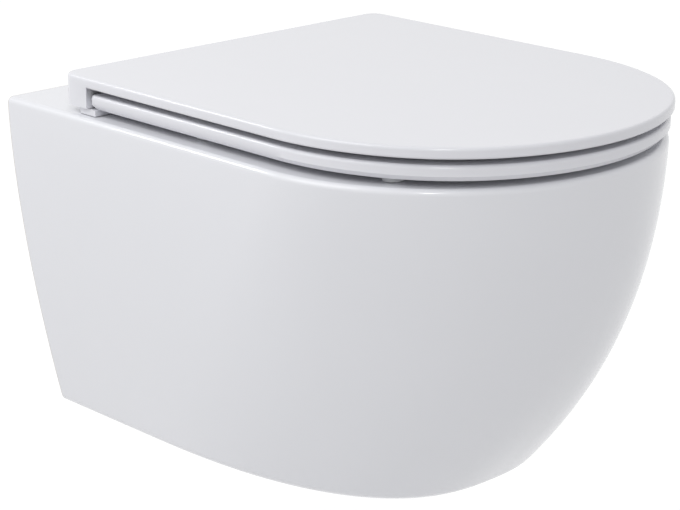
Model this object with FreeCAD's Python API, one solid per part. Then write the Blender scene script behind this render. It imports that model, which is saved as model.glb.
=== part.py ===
"""Wall hung toilet: a fired ceramic pan with a slim soft-close seat and lid.

Units are millimetres. X runs across the pan, the wall is the plane Y = 0 and the pan
projects towards -Y, and Z is up. The origin is on the wall, midway between the two
wall studs that carry the pan.
"""
import FreeCAD
import Part
import math
import os

V = FreeCAD.Vector

# ---------------------------------------------------------------- driving sizes
# The standard wall connection, counted from the stud line
STUD_SPACING = 180.0
STUD_HOLE_RADIUS = 6.5
DECK_HEIGHT = 80.0            # top of the ceramic above the stud line
INLET_HEIGHT = 35.0           # flush pipe above the stud line
INLET_RADIUS = 27.5
INLET_DEPTH = 50.0
OUTLET_DROP = 100.0           # waste pipe below the stud line
OUTLET_RADIUS = 51.0          # outside of the spigot
SPIGOT_LENGTH = 46.0

# The pan's outside
PAN_WIDTH = 360.0
PAN_LENGTH = 487.0
PAN_HEIGHT = 278.0
PAN_STRAIGHT = 313.0          # straight side, from the wall, at the rim
SIDE_DRAW = 43.5              # how far each side draws in from rim to base
NOSE_DRAW = 113.5             # how far the nose draws back from rim to base
STRAIGHT_DRAW = 201.0         # how much shorter the straight side is at the base
WALL = 12.0                   # ceramic wall
DECK = 14.0                   # ceramic deck and rim top
RIM_ROUND = 5.0
BASE_ROUND = 7.0
SIDE_POWER = 1.6              # how late the draws set in on the way down: 1 is evenly
NOSE_POWER = 2.25
STRAIGHT_POWER = 1.15
RIM_SQUARENESS = 2.0          # power of the nose's superellipse: 2 is an ellipse
BASE_SQUARENESS = 2.6
SKIN_STRIPS = 12              # straight strips down the pan's skin
ROUND_STRIPS = 2              # straight strips in each rounded border and in the sump's dome

# The bowl
BOWL_REAR = 170.0             # rear of the opening, from the wall
RIM_SIDE = 43.0               # rim width at the sides
RIM_FRONT = 35.0              # rim width at the nose
OPENING_CORNER = 0.6          # corner radius of the opening, as a share of its mean size
RIM_BAND = 34.0               # depth of the upright band above the flush ledge
LEDGE = 12.0
BOWL_POWER = 1.5              # how late the bowl closes in on the sump: 1 is evenly
BOWL_NOSE_POWER = 2.2
BOWL_STRIPS = 12              # straight strips down the bowl
SUMP_REACH = 300.0            # centre of the sump from the wall
SUMP_RADIUS = 37.0
TRAP_RADIUS = 32.0
TRAP_WALL = 9.0
TRAP_BEND = 45.0
TRAP_MITRES = 2               # mitres in each bend of the trap
SUMP_DROP = 147.0             # centre of the sump below the stud line
SUMP_RUN = 65.0               # level run of the trap out of the sump
CREST_DROP = 28.0             # centre of the trap's crest below the stud line
CREST_RUN = 55.0              # level run over the crest
CREST_AHEAD = 64.0            # rear of the crest ahead of the spigot
FALL_AHEAD = 29.0             # foot of the fall ahead of the spigot
BOWL_WALL = 10.0
BAND_WALL = 15.0              # ceramic around the upright band
DUCT_WIDTH = 38.0             # flush way behind the bowl, square at the socket
DUCT_LAP = 4.0                # how far it starts inside the socket
SLOT_WIDTH = 92.0             # flush slot in the bowl's rear
SLOT_HEIGHT = 16.0
SLOT_DROP = 21.0              # slot centre below the rim
SLOT_REACH = 4.0              # slot end past the bowl's rear wall

# Seat and lid
LID_WIDTH = 348.5
LID_FRONT = 491.8             # front of the lid from the wall
LID_STRAIGHT = 313.5
LID_REAR = 66.2
LID_CORNER = 13.5
LID_THICKNESS = 8.4
LID_NOSE_CORNER = 0.88        # corner radius of the nose, as a share of its mean size
LID_POCKET = 2.4              # hollow of the lid's underside
LID_BORDER = 16.0
LID_ROUND = 2.6
LID_UNDER_EASE = 1.3
LIP_DEPTH = 31.8              # the wrap at the lid's rear, front to back
LIP_DROP = 24.8               # the same, top to bottom
CHEEK_WIDTH = 26.0
REAR_WALL = 3.6
SEAT_INSET = 2.6              # seat edge inside the lid's edge
SEAT_THICKNESS = 11.8
SEAT_ROUND = 3.0
SEAT_UNDER_ROUND = 4.0
SEAT_OPENING_WIDTH = 218.0
SEAT_OPENING_FRONT = 70.0     # ring width at the nose
SEAT_OPENING_REAR = 172.0
SEAT_OPENING_CORNER = 0.7     # corner radius of the opening, as a share of its mean size
SEAT_REAR_CORNER = 4.5
SEAT_INNER_ROUND = 7.0
GAP_UNDER_SEAT = 5.6
GAP_UNDER_LID = 5.2
SEAT_FOOT_WIDTH = 24.0        # rear feet of the seat, under the lid's cheeks
SEAT_FOOT_REACH = 7.0
SEAT_FOOT_ROUND = 3.0
FOOT_BEHIND = 9.5             # foot end ahead of the hinge axis
FOOT_GAP = 0.6                # foot to deck and to the lid's cheek

# Hinge
HINGE_SPACING = 155.0
HINGE_REACH = 75.0            # axis from the wall
HINGE_HEIGHT = 10.5           # axis above the deck
FIXING_AHEAD = 12.0           # fixing hole ahead of the axis
PIN_RADIUS = 4.0
PIN_GRIP = 22.0               # how far the pin reaches into each cartridge
RUNNING_FIT = 0.05
KNUCKLE_RADIUS = 9.3
KNUCKLE_LENGTH = 30.0
CARTRIDGE_RADIUS = 7.0
CARTRIDGE_LENGTH = 26.0
POST_HEAD_RADIUS = 8.5
POST_WIDTH = 30.4
SIDE_PLAY = 0.6               # between neighbours along the hinge axis
NOTCH_PLAY = 2.0              # lid's notch past the seat's barrel
FOOT_RADIUS = 15.0
FOOT_HEIGHT = 4.6
FOOT_EASE = 1.2
PLATE_RADIUS = 12.0
PLATE_THICKNESS = 3.2
BUTTON_WIDTH = 11.0
BUTTON_THICKNESS = 2.0
BUTTON_TRAVEL = 2.0
BUTTON_PROUD = 2.4
BUTTON_PLAY = 0.2
BUTTON_ROUND = 0.6
PLATE_FLAT = 9.0              # flat of the base plate, from its screw
SEAT_CLEARANCE = 0.3          # between pieces that seat on each other
CLEAR_HOLE = 0.25             # radial clearance of screws in their holes
FIXING_HOLE_RADIUS = 8.0
SCREW_RADIUS = 3.0
SCREW_LENGTH = 46.0
SCREW_HEAD_RADIUS = 6.0
SCREW_KEY = 4.0               # hexagon socket, across its flats
SCREW_KEY_DEPTH = 3.0
BUSH_LENGTH = 32.0
BUSH_CLEARANCE = 0.2
NUT_LENGTH = 8.0
NUT_TAPER = 2.0               # how much narrower the nut's foot is than its hole

# Buffers
BUFFER_RADIUS = 8.0
BUFFER_PLUG_WIDTH = 6.4       # square plug that presses into the plastic
BUFFER_PLUG = 3.0
LID_BUFFER_RADIUS = 6.0
BUFFER_GAP = 0.2
SEAT_BUFFERS = ((24.25, 276.8), (42.25, 96.8))    # in from the lid's side and from its front
LID_BUFFERS = ((34.25, 291.8), (69.25, 81.8))

# Wall fixing
LUG_WIDTH = 44.0
LUG_DEPTH = 58.0
LUG_BELOW = 25.0
POCKET_RADIUS = 15.0
POCKET_DEPTH = 50.0
SLEEVE_RADIUS = 10.0
LINER_CLEARANCE = 0.2
CLAMP_REACH = 30.0            # clamp screw from the wall
CLAMP_RADIUS = 4.0
CLAMP_LENGTH = 20.0
CLAMP_KEY = 4.0               # hexagon socket, across its flats
CLAMP_KEY_DEPTH = 4.0
TOOL_HOLE_RADIUS = 8.0

# ---------------------------------------------------------------- derived places
BASE_Z = DECK_HEIGHT - PAN_HEIGHT
SEAT_BOTTOM = DECK_HEIGHT + GAP_UNDER_SEAT
SEAT_TOP = SEAT_BOTTOM + SEAT_THICKNESS
LID_BOTTOM = SEAT_TOP + GAP_UNDER_LID
LID_TOP = LID_BOTTOM + LID_THICKNESS
AXIS_Y = -HINGE_REACH
AXIS_Z = DECK_HEIGHT + HINGE_HEIGHT
FIXING_Y = AXIS_Y - FIXING_AHEAD
LIP_FRONT_Y = -LID_REAR - LIP_DEPTH
LIP_BOTTOM = LID_TOP - LIP_DROP
HINGE_X = HINGE_SPACING / 2
KNUCKLE_INNER = HINGE_X - POST_WIDTH / 2 - SIDE_PLAY    # seat's barrel starts here
KNUCKLE_OUTER = HINGE_X + POST_WIDTH / 2 + SIDE_PLAY    # lid's barrel starts here
BUTTON_BOTTOM = DECK_HEIGHT + SEAT_CLEARANCE + BUTTON_PLAY
STUD_X = STUD_SPACING / 2
LEDGE_Z = DECK_HEIGHT - RIM_BAND
BOWL_WIDTH = PAN_WIDTH - 2 * RIM_SIDE
FAR = 2 * (PAN_WIDTH + PAN_LENGTH + PAN_HEIGHT)    # outside the pan on every side
BEHIND_WALL = 20.0
OVERRUN = 1.0                 # how far a cutter starts outside what it cuts
SIDES = {"left": -1, "right": 1}


# ---------------------------------------------------------------- helpers
def box(x0, x1, y0, y1, z0, z1):
    low = V(min(x0, x1), min(y0, y1), min(z0, z1))
    return Part.makeBox(abs(x1 - x0), abs(y1 - y0), abs(z1 - z0), low)


def rod(radius, start, end):
    """A round bar between two points."""
    way = end - start
    return Part.makeCylinder(radius, way.Length, start, way)


def bar_x(radius, x0, x1, y=AXIS_Y, z=AXIS_Z):
    """A round bar along X, on the hinge axis unless told otherwise."""
    return rod(radius, V(min(x0, x1), y, z), V(max(x0, x1), y, z))


def superellipse(t, power):
    """Unit superellipse at angle t."""
    c = math.cos(t)
    s = math.sin(t)
    x = math.copysign(abs(c) ** (2 / power), c)
    y = math.copysign(abs(s) ** (2 / power), s)
    return x, y


def nose_curve(half, straight_y, front_y, power, z, steps=8):
    """The rounded front of a D outline, from the -X side round to the +X side."""
    points = []
    for i in range(steps + 1):
        x, y = superellipse(math.pi * i / steps, power)
        points.append(V(-half * x, straight_y - (straight_y - front_y) * y, z))
    points[0] = V(-half, straight_y, z)
    points[-1] = V(half, straight_y, z)
    curve = Part.BSplineCurve()
    curve.interpolate(Points=points, Parameters=[i / steps for i in range(steps + 1)])
    return curve.toShape()


def nose_arcs(half, straight_y, front_y, corner_share, z):
    """A rounded front of five tangent arcs.

    The side arcs turn 30 degrees, the corner arcs 30 and the front arc the rest. The
    corner radius is given, as a share of the mean size, and the other two follow from
    the width and the depth.
    """
    depth = straight_y - front_y
    turn = math.radians(30.0)
    corner = corner_share * (half + depth) / 2
    s1, c1 = math.sin(turn), math.cos(turn)
    s2, c2 = math.sin(2 * turn), math.cos(2 * turn)
    across = half - corner * (c1 - c2)
    along = depth - corner * (s2 - s1)
    side = (across * (1 - s2) - along * c2) / ((1 - c1) * (1 - s2) - s1 * c2)
    front = (across - side * (1 - c1)) / c2

    def on(centre_x, centre_depth, radius, angle, way):
        x = centre_x + radius * math.cos(angle)
        y = straight_y - centre_depth - radius * math.sin(angle)
        return V(way * x, y, z)

    corner_x = half - side + (side - corner) * c1
    corner_depth = (side - corner) * s1
    edges = []
    for way in (-1, 1):
        start = on(half - side, 0, side, 0, way)
        middle = on(half - side, 0, side, turn / 2, way)
        joint = on(half - side, 0, side, turn, way)
        edges.append(Part.Arc(start, middle, joint).toShape())
        middle = on(corner_x, corner_depth, corner, turn * 1.5, way)
        last = on(corner_x, corner_depth, corner, turn * 2, way)
        edges.append(Part.Arc(joint, middle, last).toShape())
    left = on(corner_x, corner_depth, corner, turn * 2, -1)
    edges.append(Part.Arc(left, V(0, front_y, z), V(-left.x, left.y, z)).toShape())
    return edges


def d_outline(half, rear_y, straight_y, front_y, power, z):
    """A D outline: straight back, straight sides and a rounded nose."""
    left = Part.makeLine(V(-half, rear_y, z), V(-half, straight_y, z))
    right = Part.makeLine(V(half, straight_y, z), V(half, rear_y, z))
    back = Part.makeLine(V(half, rear_y, z), V(-half, rear_y, z))
    return Part.Wire([left, nose_curve(half, straight_y, front_y, power, z), right, back])


def oval(half, rear_y, front_y, power, z, steps=12):
    """A closed superellipse between two Y values."""
    centre = (rear_y + front_y) / 2
    reach = (rear_y - front_y) / 2
    points = []
    for i in range(steps):
        x, y = superellipse(2 * math.pi * i / steps, power)
        points.append(V(half * x, centre + reach * y, z))
    curve = Part.BSplineCurve()
    curve.interpolate(Points=points, PeriodicFlag=True,
                      Parameters=[i / steps for i in range(steps + 1)])
    return Part.Wire([curve.toShape()])


def prism(wire, height):
    return Part.Face(wire).extrude(V(0, 0, height))


def edges_where(shape, test):
    return [edge for edge in shape.Edges if test(edge.BoundBox)]


def flat_at(z, tolerance=0.01):
    """A test for edges that lie in the plane at height z."""
    return lambda b: abs(b.ZMin - z) < tolerance and abs(b.ZMax - z) < tolerance


def heading(start, end):
    """The direction of a run in the plane X = 0, in degrees from +Y towards +Z."""
    return math.degrees(math.atan2(end.z - start.z, end.y - start.y))


def ahead(angle):
    return V(0, math.cos(math.radians(angle)), math.sin(math.radians(angle)))


def past(place, angle):
    """All that lies past a plane square to a run at a place, heading that angle."""
    block = box(-FAR, FAR, 0, FAR, -FAR, FAR)
    block.rotate(V(0, 0, 0), V(1, 0, 0), angle)
    block.translate(place)
    return block


def eased_route(points, bend, mitres):
    """The same route with each corner shared out over a few mitres around the bend's radius."""
    route = [points[0]]
    for before, corner, after in zip(points, points[1:], points[2:]):
        come = heading(before, corner)
        turn = heading(corner, after) - come
        half_turn = math.radians(abs(turn)) / 2
        reach = bend * math.tan(half_turn / mitres)
        place = corner - ahead(come) * bend * math.tan(half_turn)
        for i in range(mitres):
            mitre = place + ahead(come + turn * i / mitres) * reach
            place = mitre + ahead(come + turn * (i + 1) / mitres) * reach
            route.append(mitre)
    route.append(points[-1])
    return route


def mitred_pipe(route, radius):
    """A round solid along straight runs in the plane X = 0, mitred where they meet."""
    runs = []
    angles = [heading(start, end) for start, end in zip(route, route[1:])]
    for i, angle in enumerate(angles):
        start, end = route[i], route[i + 1]
        along = (end - start).normalize() * radius * 2
        before = start - along if i > 0 else start
        after = end + along if i < len(angles) - 1 else end
        run = rod(radius, before, after)
        if i > 0:
            run = run.cut(past(start, (angles[i - 1] + angle) / 2 + 180))
        if i < len(angles) - 1:
            run = run.cut(past(end, (angle + angles[i + 1]) / 2))
        runs.append(run)
    return runs[0].fuse(runs[1:])


def ruled(wires):
    """A solid through outlines, straight from each one to the next."""
    return Part.makeLoft(wires, True, True)


def fused(*shapes):
    result = shapes[0].fuse(list(shapes[1:]))
    return result.removeSplitter()


def mirrored(shape):
    return shape.mirror(V(0, 0, 0), V(1, 0, 0))


def both_sides(shape):
    """One group of two separate solids, the second one mirrored across the middle."""
    return Part.makeCompound([shape, mirrored(shape)])


# ---------------------------------------------------------------- the pan
def pan_section(z, inset=0.0):
    """The pan's outline at a height, run past the wall so that it can be cut flush with it."""
    share = (DECK_HEIGHT - z) / PAN_HEIGHT
    half = PAN_WIDTH / 2 - SIDE_DRAW * share ** SIDE_POWER - inset
    front = -PAN_LENGTH + NOSE_DRAW * share ** NOSE_POWER + inset
    straight = -PAN_STRAIGHT + STRAIGHT_DRAW * share ** STRAIGHT_POWER
    power = RIM_SQUARENESS + (BASE_SQUARENESS - RIM_SQUARENESS) * share
    return d_outline(half, BEHIND_WALL, straight, front, power, z)


def pan_loft(top_z, bottom_z, inset):
    """The pan's form between two heights."""
    step = (bottom_z - top_z) / SKIN_STRIPS
    return ruled([pan_section(top_z + step * i, inset) for i in range(SKIN_STRIPS + 1)])


def round_edge(z, radius, way):
    """The rounded border at the rim (way 1) or the base (way -1), as a loft of insets."""
    sections = []
    for i in range(ROUND_STRIPS + 1):
        angle = math.radians(90.0) * i / ROUND_STRIPS
        inset = radius * (1 - math.cos(angle))
        sections.append(pan_section(z - way * radius * (1 - math.sin(angle)), inset))
    return ruled(sections)


def pan_outside():
    form = pan_loft(DECK_HEIGHT - RIM_ROUND, BASE_Z + BASE_ROUND, 0.0)
    form = form.fuse([round_edge(DECK_HEIGHT, RIM_ROUND, 1), round_edge(BASE_Z, BASE_ROUND, -1)])
    return form.cut(box(-FAR, FAR, 0, FAR, -FAR, FAR))


def bowl_section(share):
    """The bowl's half width, rear Y, front Y and Z: share 0 at the ledge, 1 at the sump."""
    blend = share ** BOWL_POWER
    half = (BOWL_WIDTH / 2 - LEDGE) * (1 - blend) + SUMP_RADIUS * blend
    rear = (-BOWL_REAR - LEDGE) * (1 - blend) + (-SUMP_REACH + SUMP_RADIUS) * blend
    nose_blend = share ** BOWL_NOSE_POWER
    front = (-PAN_LENGTH + RIM_FRONT + LEDGE) * (1 - nose_blend) - (SUMP_REACH + SUMP_RADIUS) * nose_blend
    return half, rear, front, LEDGE_Z - (SUMP_DROP + LEDGE_Z) * share


def bowl_form():
    """The bowl from the ledge down, with a sump whose dome ends in a small flat."""
    sections = []
    for i in range(BOWL_STRIPS + 1):
        half, rear, front, z = bowl_section(i / BOWL_STRIPS)
        sections.append(oval(half, rear, front, 2.0, z))
    dome = []
    for i in range(ROUND_STRIPS + 1):
        angle = math.radians(80.0) * i / ROUND_STRIPS
        reach = SUMP_RADIUS * math.cos(angle)
        drop = SUMP_RADIUS * math.sin(angle)
        dome.append(oval(reach, reach - SUMP_REACH, -reach - SUMP_REACH, 2.0, -SUMP_DROP - drop))
    return ruled(sections).fuse(ruled(dome))


def bowl_shell():
    """The hidden outside of the bowl, turned about one upright axis."""
    axis_y = (-BOWL_REAR - PAN_LENGTH + RIM_FRONT) / 2
    profile = [V(0, axis_y, LEDGE_Z)]
    for share in (0.0, 0.5, 1.0):
        half, rear, front, z = bowl_section(share)
        reach = max(rear - axis_y, axis_y - front)
        profile.append(V(reach + BOWL_WALL, axis_y, z))
    foot_z = -SUMP_DROP - SUMP_RADIUS - BOWL_WALL
    profile.extend([V(SUMP_RADIUS, axis_y, foot_z), V(0, axis_y, foot_z)])
    face = Part.Face(Part.makePolygon(profile + profile[:1]))
    return face.revolve(V(0, axis_y, 0), V(0, 0, 1), 360)


def bowl_opening(grow, bottom_z):
    """The upright band of the rim, open at the top."""
    wire = arc_oval(BOWL_WIDTH / 2 + grow, -BOWL_REAR + grow,
                    -PAN_LENGTH + RIM_FRONT - grow, OPENING_CORNER, bottom_z)
    return prism(wire, DECK_HEIGHT - bottom_z)


def trap(radius):
    """The trapway from the sump, over the crest and down to the spigot."""
    crest_rear = -SPIGOT_LENGTH - CREST_AHEAD
    points = [V(0, -SUMP_REACH, -SUMP_DROP),
              V(0, -SUMP_REACH + SUMP_RUN, -SUMP_DROP),
              V(0, crest_rear - CREST_RUN, -CREST_DROP),
              V(0, crest_rear, -CREST_DROP),
              V(0, -SPIGOT_LENGTH - FALL_AHEAD, -OUTLET_DROP),
              V(0, -SPIGOT_LENGTH + TRAP_WALL, -OUTLET_DROP)]
    return mitred_pipe(eased_route(points, TRAP_BEND, TRAP_MITRES), radius)


def flush_way(grow):
    """The passage from the flush socket, widening to the slot in the bowl's rear."""
    start = V(0, -INLET_DEPTH + DUCT_LAP, INLET_HEIGHT)
    end = V(0, -BOWL_REAR - SLOT_REACH, DECK_HEIGHT - SLOT_DROP)
    wires = []
    for centre, width, height in ((start, DUCT_WIDTH, DUCT_WIDTH), (end, SLOT_WIDTH, SLOT_HEIGHT)):
        x = width / 2 + grow
        z = height / 2 + grow
        corners = [centre + V(-x, 0, -z), centre + V(x, 0, -z), centre + V(x, 0, z), centre + V(-x, 0, z)]
        wires.append(Part.makePolygon(corners + corners[:1]))
    return ruled(wires)


def stud_lug(side):
    x = side * STUD_X
    return box(x - LUG_WIDTH / 2, x + LUG_WIDTH / 2, -LUG_DEPTH, 0, -LUG_BELOW, DECK_HEIGHT - DECK / 2)


def build_pan():
    """The fired body: outer skin, bowl, trap, flush way and lugs in one ceramic."""
    inside = pan_loft(DECK_HEIGHT - DECK, BASE_Z + WALL, WALL)
    body = pan_outside().cut(inside)
    spigot = rod(OUTLET_RADIUS, V(0, -SPIGOT_LENGTH, -OUTLET_DROP), V(0, 0, -OUTLET_DROP))
    socket = rod(INLET_RADIUS + TRAP_WALL, V(0, -INLET_DEPTH - TRAP_WALL, INLET_HEIGHT),
                 V(0, 0, INLET_HEIGHT))
    solids = [body, bowl_shell(), bowl_opening(BAND_WALL, LEDGE_Z - BOWL_WALL),
              trap(TRAP_RADIUS + TRAP_WALL), spigot, socket, flush_way(TRAP_WALL),
              stud_lug(-1), stud_lug(1)]
    body = solids[0].fuse(solids[1:])

    spigot_bore = rod(OUTLET_RADIUS - TRAP_WALL, V(0, -SPIGOT_LENGTH + TRAP_WALL, -OUTLET_DROP),
                      V(0, OVERRUN, -OUTLET_DROP))
    socket_bore = rod(INLET_RADIUS, V(0, -INLET_DEPTH, INLET_HEIGHT), V(0, OVERRUN, INLET_HEIGHT))
    cuts = [bowl_form(), bowl_opening(0.0, LEDGE_Z), trap(TRAP_RADIUS),
            spigot_bore, socket_bore, flush_way(0.0)]
    for side in SIDES.values():
        stud = side * STUD_X
        cuts.append(rod(POCKET_RADIUS, V(stud, -POCKET_DEPTH, 0), V(stud, OVERRUN, 0)))
        cuts.append(rod(CLAMP_RADIUS + RUNNING_FIT, V(stud, -CLAMP_REACH, -LUG_BELOW - OVERRUN),
                        V(stud, -CLAMP_REACH, 0)))
        cuts.append(rod(TOOL_HOLE_RADIUS, V(stud, -CLAMP_REACH, BASE_Z - OVERRUN),
                        V(stud, -CLAMP_REACH, BASE_Z + WALL + OVERRUN)))
        fixing = side * HINGE_X
        cuts.append(rod(FIXING_HOLE_RADIUS, V(fixing, FIXING_Y, DECK_HEIGHT - DECK - OVERRUN),
                        V(fixing, FIXING_Y, DECK_HEIGHT + OVERRUN)))
    return body.cut(cuts)


# ---------------------------------------------------------------- wall fixing
def build_stud_sleeves():
    """Steel sleeves that slide on the wall studs inside the lugs."""
    start = V(STUD_X, -POCKET_DEPTH + SEAT_CLEARANCE, 0)
    end = V(STUD_X, 0, 0)
    return both_sides(rod(SLEEVE_RADIUS, start, end).cut(rod(STUD_HOLE_RADIUS, start, end)))


def build_sleeve_liners():
    """Plastic liners between the steel sleeves and the ceramic pockets."""
    start = V(STUD_X, -POCKET_DEPTH + SEAT_CLEARANCE, 0)
    end = V(STUD_X, 0, 0)
    liner = rod(POCKET_RADIUS - LINER_CLEARANCE, start, end)
    liner = liner.cut(rod(SLEEVE_RADIUS + LINER_CLEARANCE, start, end))
    hole = rod(CLAMP_RADIUS + SEAT_CLEARANCE, V(STUD_X, -CLAMP_REACH, -POCKET_RADIUS - OVERRUN),
               V(STUD_X, -CLAMP_REACH, 0))
    return both_sides(liner.cut(hole))


def build_clamp_screws():
    """Socket grub screws that press up on the sleeves."""
    top = V(STUD_X, -CLAMP_REACH, -SLEEVE_RADIUS - LINER_CLEARANCE)
    bottom = top - V(0, 0, CLAMP_LENGTH)
    screw = rod(CLAMP_RADIUS, bottom, top)
    key = hexagon_rod(CLAMP_KEY, bottom, CLAMP_KEY_DEPTH)
    return both_sides(screw.cut(key))


def hexagon_rod(across, bottom, depth):
    """A six-sided bar, across its flats, standing on a point."""
    radius = across / math.sqrt(3)
    points = []
    for i in range(7):
        angle = math.radians(60 * i)
        points.append(bottom + V(radius * math.cos(angle), radius * math.sin(angle), 0))
    return Part.Face(Part.makePolygon(points)).extrude(V(0, 0, depth))


# ---------------------------------------------------------------- seat and lid
def lid_outline(inset, z, rear_y=-LID_REAR, corner=LID_CORNER):
    """The D outline shared by the lid and the seat, with rounded rear corners."""
    half = LID_WIDTH / 2 - inset
    front = -LID_FRONT + inset
    bulge = corner * (1 - math.sqrt(0.5))
    edges = nose_arcs(half, -LID_STRAIGHT, front, LID_NOSE_CORNER, z)
    edges.append(Part.makeLine(V(half, -LID_STRAIGHT, z), V(half, rear_y - corner, z)))
    edges.append(Part.Arc(V(half, rear_y - corner, z), V(half - bulge, rear_y - bulge, z),
                          V(half - corner, rear_y, z)).toShape())
    edges.append(Part.makeLine(V(half - corner, rear_y, z), V(corner - half, rear_y, z)))
    edges.append(Part.Arc(V(corner - half, rear_y, z), V(bulge - half, rear_y - bulge, z),
                          V(-half, rear_y - corner, z)).toShape())
    edges.append(Part.makeLine(V(-half, rear_y - corner, z), V(-half, -LID_STRAIGHT, z)))
    return Part.Wire(Part.__sortEdges__(edges))


def arc_oval(half, rear_y, front_y, corner_share, z):
    """A closed oval of tangent arcs."""
    middle = (rear_y + front_y) / 2
    front = nose_arcs(half, middle, front_y, corner_share, z)
    rear = [edge.mirror(V(0, middle, 0), V(0, 1, 0)) for edge in front]
    return Part.Wire(Part.__sortEdges__(front + rear))


def hinge_notch(x0, x1):
    """Room in the lid's rear wall for the post and the seat's barrel beside it."""
    return box(x0, x1, AXIS_Y, 0, LIP_BOTTOM - OVERRUN, LID_BOTTOM)


def knuckle(x0, x1):
    """A barrel about the hinge axis, without its bore."""
    return bar_x(KNUCKLE_RADIUS, x0, x1)


def build_lid():
    """A slim moulded lid whose rear wraps down over the hinges."""
    skin = prism(lid_outline(0.0, LIP_BOTTOM), LIP_DROP)
    skin = skin.makeFillet(LID_ROUND, edges_where(skin, flat_at(LID_TOP)))
    room = box(-FAR, FAR, -FAR, LIP_FRONT_Y, LIP_BOTTOM - OVERRUN, LID_BOTTOM)
    inner = LID_WIDTH / 2 - CHEEK_WIDTH
    between = box(-inner, inner, LIP_FRONT_Y - OVERRUN, -LID_REAR - REAR_WALL,
                  LIP_BOTTOM - OVERRUN, LID_BOTTOM)
    pocket = prism(lid_outline(LID_BORDER, LID_BOTTOM - OVERRUN, LIP_FRONT_Y - LID_BORDER),
                   OVERRUN + LID_POCKET)
    lid = skin.cut([room, between, pocket])
    under = edges_where(lid, lambda b: flat_at(LID_BOTTOM)(b) and b.YMin < -LID_FRONT + LID_BORDER / 2)
    lid = lid.makeChamfer(LID_UNDER_EASE, under)
    notch_start = KNUCKLE_INNER - KNUCKLE_LENGTH - NOTCH_PLAY
    for side in SIDES.values():
        lid = lid.cut(hinge_notch(side * notch_start, side * KNUCKLE_OUTER))
        start = side * KNUCKLE_OUTER
        end = side * (KNUCKLE_OUTER + KNUCKLE_LENGTH)
        web = box(start, end, AXIS_Y - KNUCKLE_RADIUS, -LID_REAR - REAR_WALL / 2, AXIS_Z,
                  LID_BOTTOM + LID_POCKET / 2)
        barrel = knuckle(start, end)
        bore = bar_x(CARTRIDGE_RADIUS + RUNNING_FIT, start - side,
                     side * (KNUCKLE_OUTER + CARTRIDGE_LENGTH))
        lid = lid.fuse([barrel, web]).cut(bore)
    return lid.cut(plug_holes(LID_BUFFERS, LID_BOTTOM + LID_POCKET))


def seat_opening_wire(grow, z):
    return arc_oval(SEAT_OPENING_WIDTH / 2 + grow, -SEAT_OPENING_REAR + grow,
                    -LID_FRONT + SEAT_OPENING_FRONT - grow, SEAT_OPENING_CORNER, z)


def seat_opening():
    """The hole through the seat, its top edge eased over in two slopes."""
    low = SEAT_TOP - SEAT_INNER_ROUND
    hole = prism(seat_opening_wire(0.0, SEAT_BOTTOM - OVERRUN), low - SEAT_BOTTOM + OVERRUN)
    eased = [seat_opening_wire(SEAT_INNER_ROUND * inward, low + SEAT_INNER_ROUND * rise)
             for inward, rise in ((0.0, 0.0), (0.3, 0.7), (1.0, 1.0))]
    return hole.fuse(ruled(eased))


def build_seat():
    """The ring, with rear feet under the lid's cheeks and a barrel inside each hinge."""
    rear = LIP_FRONT_Y - SIDE_PLAY
    ring = prism(lid_outline(SEAT_INSET, SEAT_BOTTOM, rear, SEAT_REAR_CORNER), SEAT_THICKNESS)
    ring = ring.makeFillet(SEAT_ROUND, edges_where(ring, flat_at(SEAT_TOP)))
    ring = ring.makeChamfer(SEAT_UNDER_ROUND, edges_where(ring, flat_at(SEAT_BOTTOM)))
    ring = ring.cut(seat_opening())
    half = LID_WIDTH / 2 - SEAT_INSET
    pieces = []
    foot_z = DECK_HEIGHT + FOOT_GAP
    for side in SIDES.values():
        outer = side * half
        inner = side * (half - SEAT_FOOT_WIDTH)
        foot = box(outer, inner, rear - SEAT_FOOT_REACH, AXIS_Y - FOOT_BEHIND, foot_z,
                   LIP_BOTTOM - FOOT_GAP)
        upright = edges_where(foot, lambda b: b.ZLength > b.XLength and b.YMax > rear)
        foot = foot.makeFillet(SEAT_FOOT_ROUND, upright)
        pieces.append(foot)
        far = KNUCKLE_INNER - KNUCKLE_LENGTH
        barrel = knuckle(side * KNUCKLE_INNER, side * far)
        web = box(side * KNUCKLE_INNER, side * far, rear - SEAT_UNDER_ROUND, AXIS_Y, SEAT_BOTTOM,
                  AXIS_Z + KNUCKLE_RADIUS / 2)
        pieces.extend([barrel, web])
    seat = ring.fuse(pieces)
    cuts = plug_holes(SEAT_BUFFERS, SEAT_BOTTOM)
    for side in SIDES.values():
        cuts.append(bar_x(CARTRIDGE_RADIUS + RUNNING_FIT, side * (KNUCKLE_INNER + OVERRUN),
                          side * (KNUCKLE_INNER - CARTRIDGE_LENGTH)))
    return seat.cut(cuts)


def buffer_places(insets):
    """Both sides' X and Y, from insets from the lid's side and front."""
    return [(side * (LID_WIDTH / 2 - across), along - LID_FRONT)
            for across, along in insets for side in SIDES.values()]


def plug(x, y, width, z0, z1):
    return box(x - width / 2, x + width / 2, y - width / 2, y + width / 2, z0, z1)


def plug_holes(insets, face_z):
    """Square holes for the buffers' plugs, up from the face that carries them."""
    width = BUFFER_PLUG_WIDTH + 2 * RUNNING_FIT
    return [plug(x, y, width, face_z - OVERRUN, face_z + BUFFER_PLUG)
            for x, y in buffer_places(insets)]


def buffers(insets, radius, bottom, top):
    """Soft buttons whose plugs press into their holes."""
    solids = []
    for x, y in buffer_places(insets):
        head = Part.makeCylinder(radius, top - bottom, V(x, y, bottom))
        peg = plug(x, y, BUFFER_PLUG_WIDTH, top, top + BUFFER_PLUG - SEAT_CLEARANCE)
        solids.append(head.fuse(peg))
    return Part.makeCompound(solids)


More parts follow.
